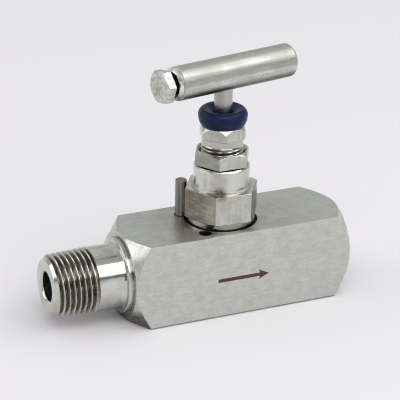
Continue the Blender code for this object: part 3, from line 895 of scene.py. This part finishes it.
HANDLE_ANGLE = math.radians(11.2)
HANDLE_ENDS = (-20.2, 26.4)
BOLT_HEAD_X = (-25.0, -22.0)
BOLT_FLATS = 10
BOLT_SHANK_R = 2.9
BOLT_TIP_X = -3.4
BOLT_CORNER = math.radians(140)
BOLT_HOLE_R = 3.05
BOLT_HOLE_FLOOR = -1
STEM_SOCKET_R = 3.15


def place_on_bar(thing):
    """Turns a piece made along X to the handle bar's direction and lifts it to the bar."""
    low, high = heights("handle_bar")
    thing.rotation_euler = (0, 0, HANDLE_ANGLE)
    thing.location = (0, 0, (low + high) / 2 * MM)


def make_handle(bar_materials, bolt_materials):
    """The bar, whose end ring has the third finish, and the bolt whose head has the first. The second finish,
    on the bar's bores and end recess and the bolt's shank, is near-black painted shade; the third is a
    lighter steel as painted highlight.
    """
    low, high = heights("handle_bar")
    r = (high - low) / 2
    left, right = HANDLE_ENDS
    # Finish 1 on the bore and the end recess is near-black painted shade; finish 2 on the end chamfer is a
    # lighter steel as painted highlight.
    bar = [
        (0, BOLT_HOLE_FLOOR, 0, 1), (BOLT_HOLE_R, BOLT_HOLE_FLOOR, 0.05, 1),
        (BOLT_HOLE_R, left + 1.3, 0.1, 1),
        (r - 1.5, left + 1.1, 0.1, 1), (r - 1.25, left, 0.1, 0), (r - 0.1, left + 1.0, 0.1, 2),
        (r - 0.45, left + 1.1, 0.05, 2), (r - 0.45, left + 1.4, 0.05, 0), (r, left + 1.6, 0.1, 0),
        (r, right - 1.0, 0.3, 0), (r - 1.0, right, 0.25, 0), (0, right, 0, 0),
    ]
    thing = add_mesh("handle_tbar", along_x(lathe(lambda angle: bar, angles_round(ROUND))), bar_materials)
    top = heights("stem")[1] + 0.4 - (low + high) / 2
    mouth_r = STEM_SOCKET_R + 0.95
    hole = [(0, -r - 1), (mouth_r, -r - 1), (STEM_SOCKET_R, -r + 0.25), (STEM_SOCKET_R, top), (0, top)]
    # The stem socket's walls get the near-black painted shade.
    drill(thing, [cutter_round(hole, finish=1)])
    place_on_bar(thing)
    finish_piece(thing, "handle_bar")

    def outline(angle):
        head_low, head_high = BOLT_HEAD_X
        return [
            (0, head_low, 0, 0),
            *hexagon_corners(angle, BOLT_FLATS, BOLT_CORNER, head_low, head_high, 4.75, 5.5),
            (BOLT_SHANK_R, head_high, 0.15, 1), (BOLT_SHANK_R, BOLT_TIP_X - 0.5, 0.1, 1),
            (BOLT_SHANK_R - 0.5, BOLT_TIP_X, 0.1, 1), (0, BOLT_TIP_X, 0, 1),
        ]

    # The bolt's shank has the near-black painted shade.
    shape = along_x(lathe(outline, angles_round(96, 6, BOLT_CORNER, 2.0)))
    thing = add_mesh("handle_clamp_bolt", shape, bolt_materials)
    place_on_bar(thing)
    finish_piece(thing, "handle_bolt")


# ---------------------------------------------------------------- stage

# How grey the room is in front and behind, from straight down to straight up.
FRONT_SKY = [
    (0.0, 0.9), (0.24, 0.82), (0.275, 0.12), (0.42, 0.12),
    (0.48, 0.45), (0.85, 0.45), (0.95, 0.42), (1.0, 0.42),
]
BACK_SKY = [(0.0, 0.75), (0.2, 0.66), (0.4, 0.5), (0.55, 0.68), (0.9, 0.66), (1.0, 0.42)]
PANEL_HEIGHT = 2.5
MAIN_PANEL = ((-2.25, -4.75), (2.75, -1.05))
SIDE_PANEL = ((1.5, -1.05), (2.75, 0.5))
PANEL_RADIANCE = 2.45
LEFT_BOX_AT = (-1.28, 0.38, 0.66)
LEFT_BOX_SIZE = (1.1, 0.5)
LEFT_BOX_RADIANCE = 1.55
DARK_TOWARDS = (-0.42, -0.905, 0.05)
DARK_FULL_WITHIN, DARK_ENDS_AT = math.radians(12), math.radians(30)
DARK_GREY = 0.12
FRONT_TO_BACK = 0.35
FLOOR_HALF_SIZE = 4.0
FLOOR_DROP = 0.0003
FLOOR_COLOUR = (0.80, 0.785, 0.81, 1)


def grey_ramp(tree, value, stops):
    """The grey at this value, from (value, grey) stops."""
    node = tree.nodes.new("ShaderNodeValToRGB")
    while len(node.color_ramp.elements) < len(stops):
        node.color_ramp.elements.new(0.5)
    for element, (at, grey) in zip(node.color_ramp.elements, stops):
        element.position = at
        element.color = (grey, grey, grey, 1)
    tree.links.new(value, node.inputs["Fac"])
    return node.outputs["Color"]


def share_between(tree, value, low, high):
    """0 at one value and 1 at another."""
    node = tree.nodes.new("ShaderNodeMapRange")
    node.inputs["From Min"].default_value = low
    node.inputs["From Max"].default_value = high
    tree.links.new(value, node.inputs["Value"])
    return node.outputs["Result"]


def colour_mix(tree, share, first):
    """A mix that starts from this colour: its second colour's socket, and its result."""
    node = tree.nodes.new("ShaderNodeMix")
    node.data_type = "RGBA"
    tree.links.new(share, node.inputs["Factor"])
    colours = [socket for socket in node.inputs if socket.type == "RGBA"]
    tree.links.new(first, colours[0])
    return colours[1], next(socket for socket in node.outputs if socket.type == "RGBA")


def make_stage():
    """A wide pale floor in a room that is mid grey, darker low down in front and darkest in one patch low in
    front.
    """
    floor = bmesh.new()
    bmesh.ops.create_grid(floor, x_segments=1, y_segments=1, size=FLOOR_HALF_SIZE)
    paint = Finish("floor_paint")
    paint.shade(Base_Color=FLOOR_COLOUR, Roughness=0.8, Specular_IOR_Level=0.1)
    ground = add_mesh("floor", floor, [paint.material])
    ground.location.z = -FLOOR_DROP

    world = bpy.data.worlds.new("studio")
    bpy.context.scene.world = world
    world.use_nodes = True
    tree = world.node_tree
    where = tree.nodes.new("ShaderNodeTexCoord").outputs["Generated"]
    parts = tree.nodes.new("ShaderNodeSeparateXYZ")
    tree.links.new(where, parts.inputs[0])
    in_front = grey_ramp(tree, parts.outputs["Z"], FRONT_SKY)
    behind = grey_ramp(tree, parts.outputs["Z"], BACK_SKY)
    side = share_between(tree, parts.outputs["Y"], -FRONT_TO_BACK, FRONT_TO_BACK)
    second, surround = colour_mix(tree, side, in_front)
    tree.links.new(behind, second)

    facing = tree.nodes.new("ShaderNodeVectorMath")
    facing.operation = "DOT_PRODUCT"
    facing.inputs[1].default_value = DARK_TOWARDS
    tree.links.new(where, facing.inputs[0])
    share = share_between(tree, facing.outputs["Value"], math.cos(DARK_ENDS_AT), math.cos(DARK_FULL_WITHIN))
    second, result = colour_mix(tree, share, surround)
    second.default_value = (DARK_GREY, DARK_GREY, DARK_GREY, 1)
    tree.links.new(result, tree.nodes["Background"].inputs["Color"])


def panel(name, place, size, radiance):
    """A lit rectangle of this size in metres, facing down until it is turned."""
    light = bpy.data.lights.new(name, "AREA")
    light.shape = "RECTANGLE"
    light.size, light.size_y = size
    light.energy = radiance * math.pi * size[0] * size[1]
    lamp = bpy.data.objects.new(name, light)
    lamp.location = place
    bpy.context.scene.collection.objects.link(lamp)
    return lamp


def light_the_stage():
    """Two panels overhead in one plane, and a box of light low on the left."""
    for name, (low, high) in (("main_panel", MAIN_PANEL), ("side_panel", SIDE_PANEL)):
        middle = ((low[0] + high[0]) / 2, (low[1] + high[1]) / 2, PANEL_HEIGHT)
        panel(name, middle, (high[0] - low[0], high[1] - low[1]), PANEL_RADIANCE)
    box = panel("left_box", LEFT_BOX_AT, LEFT_BOX_SIZE, LEFT_BOX_RADIANCE)
    box.rotation_euler = Vector(LEFT_BOX_AT).to_track_quat("Z", "Y").to_euler()


# ---------------------------------------------------------------- camera

CAMERA_AZIMUTH = math.radians(-24.73)
CAMERA_ELEVATION = math.radians(22.83)
CAMERA_ROLL = math.radians(1.13)
CAMERA_DISTANCE = 0.62975
CAMERA_AIM = Vector((-0.003156, 0.009445, 0.017242 + FLOW_Z * MM))
CAMERA_LENS = 171.36
SENSOR_WIDTH = 36
FILTER_WIDTH = 1.1


def make_camera():
    """A long lens in front, to the left of the flow arrow's face and above it, rolled very slightly."""
    level, tilt, roll = CAMERA_AZIMUTH, CAMERA_ELEVATION, CAMERA_ROLL
    back = Vector((math.sin(level) * math.cos(tilt), -math.cos(level) * math.cos(tilt), math.sin(tilt)))
    right = Vector((math.cos(level), math.sin(level), 0))
    up = back.cross(right)
    rolled_right = right * math.cos(roll) + up * math.sin(roll)
    rolled_up = up * math.cos(roll) - right * math.sin(roll)
    lens = bpy.data.cameras.new("camera")
    lens.sensor_width = SENSOR_WIDTH
    lens.lens = CAMERA_LENS
    lens.clip_start = 0.01
    camera = bpy.data.objects.new("camera", lens)
    pose = Matrix((rolled_right, rolled_up, back)).transposed().to_4x4()
    camera.matrix_world = Matrix.Translation(CAMERA_AIM + back * CAMERA_DISTANCE) @ pose
    bpy.context.scene.collection.objects.link(camera)
    bpy.context.scene.camera = camera


# ---------------------------------------------------------------- looks of the pieces

# Painted crevice shade: a near-black colour laid where ambient occlusion finds surfaces close together.
CREVICE_SHADE_COLOUR = (0.035, 0.028, 0.022)
PAINTED_CREVICE_SHADE = (crevice_shade(1.3, 0.85), CREVICE_SHADE_COLOUR)
# Painted shade on surfaces that face down.
UNDERSIDE_SHADE = (underside_shade(0.5), (0.12, 0.1, 0.085))


def body_finishes():
    """The bar's flats, turned ends, cut threads, etched mark, near-black painted shade for bores and
    recesses, and cones, in that order.
    """
    smudged = (ring_stain(12, 30, 0.55), (0.33, 0.33, 0.29))
    # Painted shade on the lower side of the cone, standing in for the shadowed floor it reflects.
    cone_foot_shade = (shade_on_side((0, -0.3, -0.954), 10.6, 13.2, 0.92), (0.09, 0.072, 0.06))
    # The flats have real smudges round the bonnet and painted crevice shade.
    flats = steel(
        "bar_steel", (0.565, 0.58, 0.54), 0.34, grain_along(0, 300, 1500), streak=0.14, cloud=0.045,
        clouds_per_metre=320, brushed=("X", 0), depth=0.006, soils_and_shade=(smudged, PAINTED_CREVICE_SHADE),
    )
    # The cones and turned ends carry painted shade: on what faces down, at the cone's foot, and in crevices.
    cones = steel(
        "turned_cones", (0.59, 0.6, 0.565), 0.27, grain_along(0, 1500, 60), streak=0.06, cloud=0.08,
        clouds_per_metre=210, brushed=("X", 0.25), depth=0.004,
        soils_and_shade=(UNDERSIDE_SHADE, cone_foot_shade, (crevice_shade(0.8, 0.35), CREVICE_SHADE_COLOUR)),
    )
    ends = steel(
        "turned_ends", (0.61, 0.62, 0.585), 0.16, grain_along(0, 1500, 60), streak=0.04, cloud=0.1,
        clouds_per_metre=210, brushed=("X", 0.25), depth=0.003,
        soils_and_shade=(UNDERSIDE_SHADE, cone_foot_shade, (crevice_shade(0.8, 0.45), CREVICE_SHADE_COLOUR)),
    )
    groove = groove_soil("X", STUB_R - PIPE_TAPER * PIPE_THREAD_X, PIPE_TAPER, PIPE_DEPTH, 0.84)
    threads = steel(
        "cut_threads", (0.62, 0.605, 0.565), 0.22, grain_along(0, 1500, 300),
        soils_and_shade=((groove, (0.13, 0.108, 0.09)),),
    )
    etched = Finish("etched_mark")
    speck = etched.noise((3000, 3000, 3000))
    tone = etched.blend(speck, (0.05, 0.018, 0.015), (0.11, 0.045, 0.036))
    etched.shade(Base_Color=tone, Roughness=0.65, Metallic=0.2)
    # Near-black steel painted as shade inside bores and recesses.
    near_black_shade = steel("painted_shade_steel", (0.07, 0.062, 0.055), 0.45, grain_along(2, 900, 900))
    return [finish.material for finish in (flats, ends, threads, etched, near_black_shade, cones)]


def bonnet_finishes():
    """The bonnet's turned surfaces and its hexagon flats, both with painted shade on some sides and in
    crevices.
    """
    # Painted crevice shade on the bonnet above the bar's top.
    above_bar = (crevice_shade(1.3, 0.85, above=16.5), CREVICE_SHADE_COLOUR)
    spot_x, spot_y, _ = towards(-117)
    corner_spot = (smudge((10.3 * spot_x, 10.3 * spot_y, 26.4), 1.2, 2.8, 0.92), (0.075, 0.055, 0.045))
    # Painted shade on the collar low down in the recess, below the hexagon.
    low_collar_shade = (shade_on_side((0, 0, -1), -16.5, -16.2, 0.55), (0.26, 0.225, 0.195))
    # Painted shade down the boss's front-left side, standing in for a dark reflection.
    boss_side_shade = (shade_on_side(towards(-121), 8.5, 9.15, 0.75), (0.38, 0.375, 0.33))
    # Brown painted shade on the hexagon's left front flat, thinning out across it.
    left_flat_shade = (shade_on_side(towards(-153), 10.7, 10.95, 0.92, (towards(-63), 0.5, 4.5)), (0.16, 0.13, 0.095))
    # Near-black painted shade on the hexagon's right front flat.
    right_flat_shade = (shade_on_side(towards(-33), 10.7, 10.95, 0.97), (0.09, 0.08, 0.068))
    round_steel = steel(
        "bonnet_steel", (0.645, 0.65, 0.6), 0.21, grain_along(2, 1500, 160), streak=0.05, cloud=0.06,
        brushed=("Z", 0.25), soils_and_shade=(boss_side_shade, low_collar_shade, corner_spot, above_bar),
    )
    flats = steel(
        "bonnet_flats", (0.525, 0.53, 0.483), 0.27, grain_along(2, 90, 900), streak=0.2, cloud=0.07,
        brushed=("Z", 0.25), soils_and_shade=(left_flat_shade, right_flat_shade, corner_spot, above_bar),
    )
    return [round_steel.material, flats.material]


def nut_steel(name, facing, flat, most):
    """Brushed hexagon steel with painted shade on one flat, which faces this way at this distance."""
    # Painted shade on the flat that faces this way, and painted crevice shade.
    dull = (shade_on_side(towards(facing), flat - 0.2, flat - 0.05, most), (0.27, 0.255, 0.22))
    finish = steel(
        name, (0.54, 0.55, 0.5), 0.26, grain_along(2, 90, 900), streak=0.22, cloud=0.06,
        brushed=("Z", 0.25), soils_and_shade=(dull, PAINTED_CREVICE_SHADE),
    )
    return finish.material


def gland_thread_finish():
    # Painted shade on the front of the neck and thread crests.
    gland_front_shade = (shade_on_side(towards(-112), 5.2, 6.7, 0.25), (0.3, 0.29, 0.27))
    roots = (groove_soil("Z", GLAND_CREST_R, 0, GLAND_DEPTH, 0.95), (0.1, 0.09, 0.08))
    finish = steel(
        "gland_thread_steel", (0.64, 0.64, 0.6), 0.18, grain_along(2, 1500, 200), streak=0.03, depth=0.002,
        brushed=("Z", 0.25), soils_and_shade=(gland_front_shade, roots),
    )
    return finish.material


def stem_finish():
    # Painted shade on the stem's front-left side, and painted crevice shade.
    stem_left_shade = (shade_on_side(towards(-140), 2.4, 3.0, 0.5), (0.22, 0.2, 0.19))
    finish = steel(
        "stem_steel", (0.46, 0.44, 0.425), 0.26, grain_along(2, 1500, 100), brushed=("Z", 0.25),
        soils_and_shade=(stem_left_shade, PAINTED_CREVICE_SHADE),
    )
    return finish.material


def handle_finishes():
    """The bar's brushed steel, its end ring, lighter as a painted highlight, and the bolt's head."""
    # Painted shade along the bar's top, which dims the upper edge of its highlight.
    bar_top_shade = (shade_on_side((0, -0.208, 0.978), 4.35, 4.9, 0.6), (0.38, 0.38, 0.355))
    # A painted dark reflection: a band along the bar below its highlight.
    dark_reflection_band = (shade_on_side((0, -0.976, 0.22), 5.33, 5.47, 0.6), (0.26, 0.26, 0.235))
    # Painted shade on the bar's underside.
    bar_underside_shade = (underside_shade(0.85, -0.3, -0.6), (0.08, 0.066, 0.056))
    # Painted shade on the underside of the end ring.
    ring_underside_shade = (underside_shade(0.8, 0.0, -0.45), (0.2, 0.19, 0.17))
    long_marks = (streaks(grain_along(0, 16, 420), 0.5, 0.66, 0.45), (0.3, 0.3, 0.275))
    speckle = (streaks((900, 900, 900), 0.5, 0.62, 0.55), (0.26, 0.26, 0.23))
    # A lighter copy of the steel for the end chamfer, as painted highlight.
    ring = steel(
        "chamfer_painted_highlight", (0.8, 0.81, 0.77), 0.24, grain_along(0, 1500, 200), streak=0.1, cloud=0.04,
        soils_and_shade=(ring_underside_shade,),
    )
    bar = steel(
        "handle_steel", (0.575, 0.585, 0.545), 0.35, grain_along(0, 60, 750), streak=0.36, cloud=0.06,
        brushed=("X", 0), depth=0.022, soils_and_shade=(long_marks, bar_top_shade, dark_reflection_band, bar_underside_shade, PAINTED_CREVICE_SHADE),
    )
    bolt = steel(
        "bolt_steel", (0.64, 0.645, 0.61), 0.44, grain_along(2, 400, 1500), streak=0.1, cloud=0.09,
        soils_and_shade=(speckle,),
    )
    return bar.material, ring.material, bolt.material


# ---------------------------------------------------------------- the whole valve


def main():
    body = body_finishes()
    make_body(body)
    bonnet = bonnet_finishes()
    make_bonnet(bonnet)
    # The pin's steel has painted crevice shade.
    pin = steel("pin_steel", (0.25, 0.24, 0.225), 0.34, grain_along(2, 200, 1500), soils_and_shade=(PAINTED_CREVICE_SHADE,))
    make_lock_pin(pin.material)
    seal = steel("seal_metal", (0.4, 0.4, 0.39), 0.4, grain_along(2, 900, 900))
    soft = moulded("packing_ptfe", (0.8, 0.8, 0.77), 0.45)
    make_washers(bonnet[0], seal.material, soft.material)
    gland_thread = gland_thread_finish()
    make_gland_nut([nut_steel("gland_steel", -133, 6.8, 0.35), gland_thread])
    make_lock_nut(nut_steel("lock_nut_steel", -150, 8.3, 0.75))
    make_cap(moulded("blue_cap", (0.0012, 0.0088, 0.046), 0.38, 0.18).material)
    make_stem(stem_finish())
    hard = steel("hard_steel", (0.6, 0.6, 0.6), 0.16, grain_along(2, 1500, 200), depth=0.002)
    make_needle(hard.material)
    bar, ring, bolt = handle_finishes()
    # The second finish of bar and bolt is the body's near-black painted shade; the bar's third is the painted
    # highlight of its chamfer.
    make_handle([bar, body[PAINTED_SHADE], ring], [bolt, body[PAINTED_SHADE]])

    make_stage()
    light_the_stage()
    make_camera()
    bpy.context.scene.view_settings.view_transform = "Standard"
    bpy.context.scene.cycles.filter_width = FILTER_WIDTH


main()
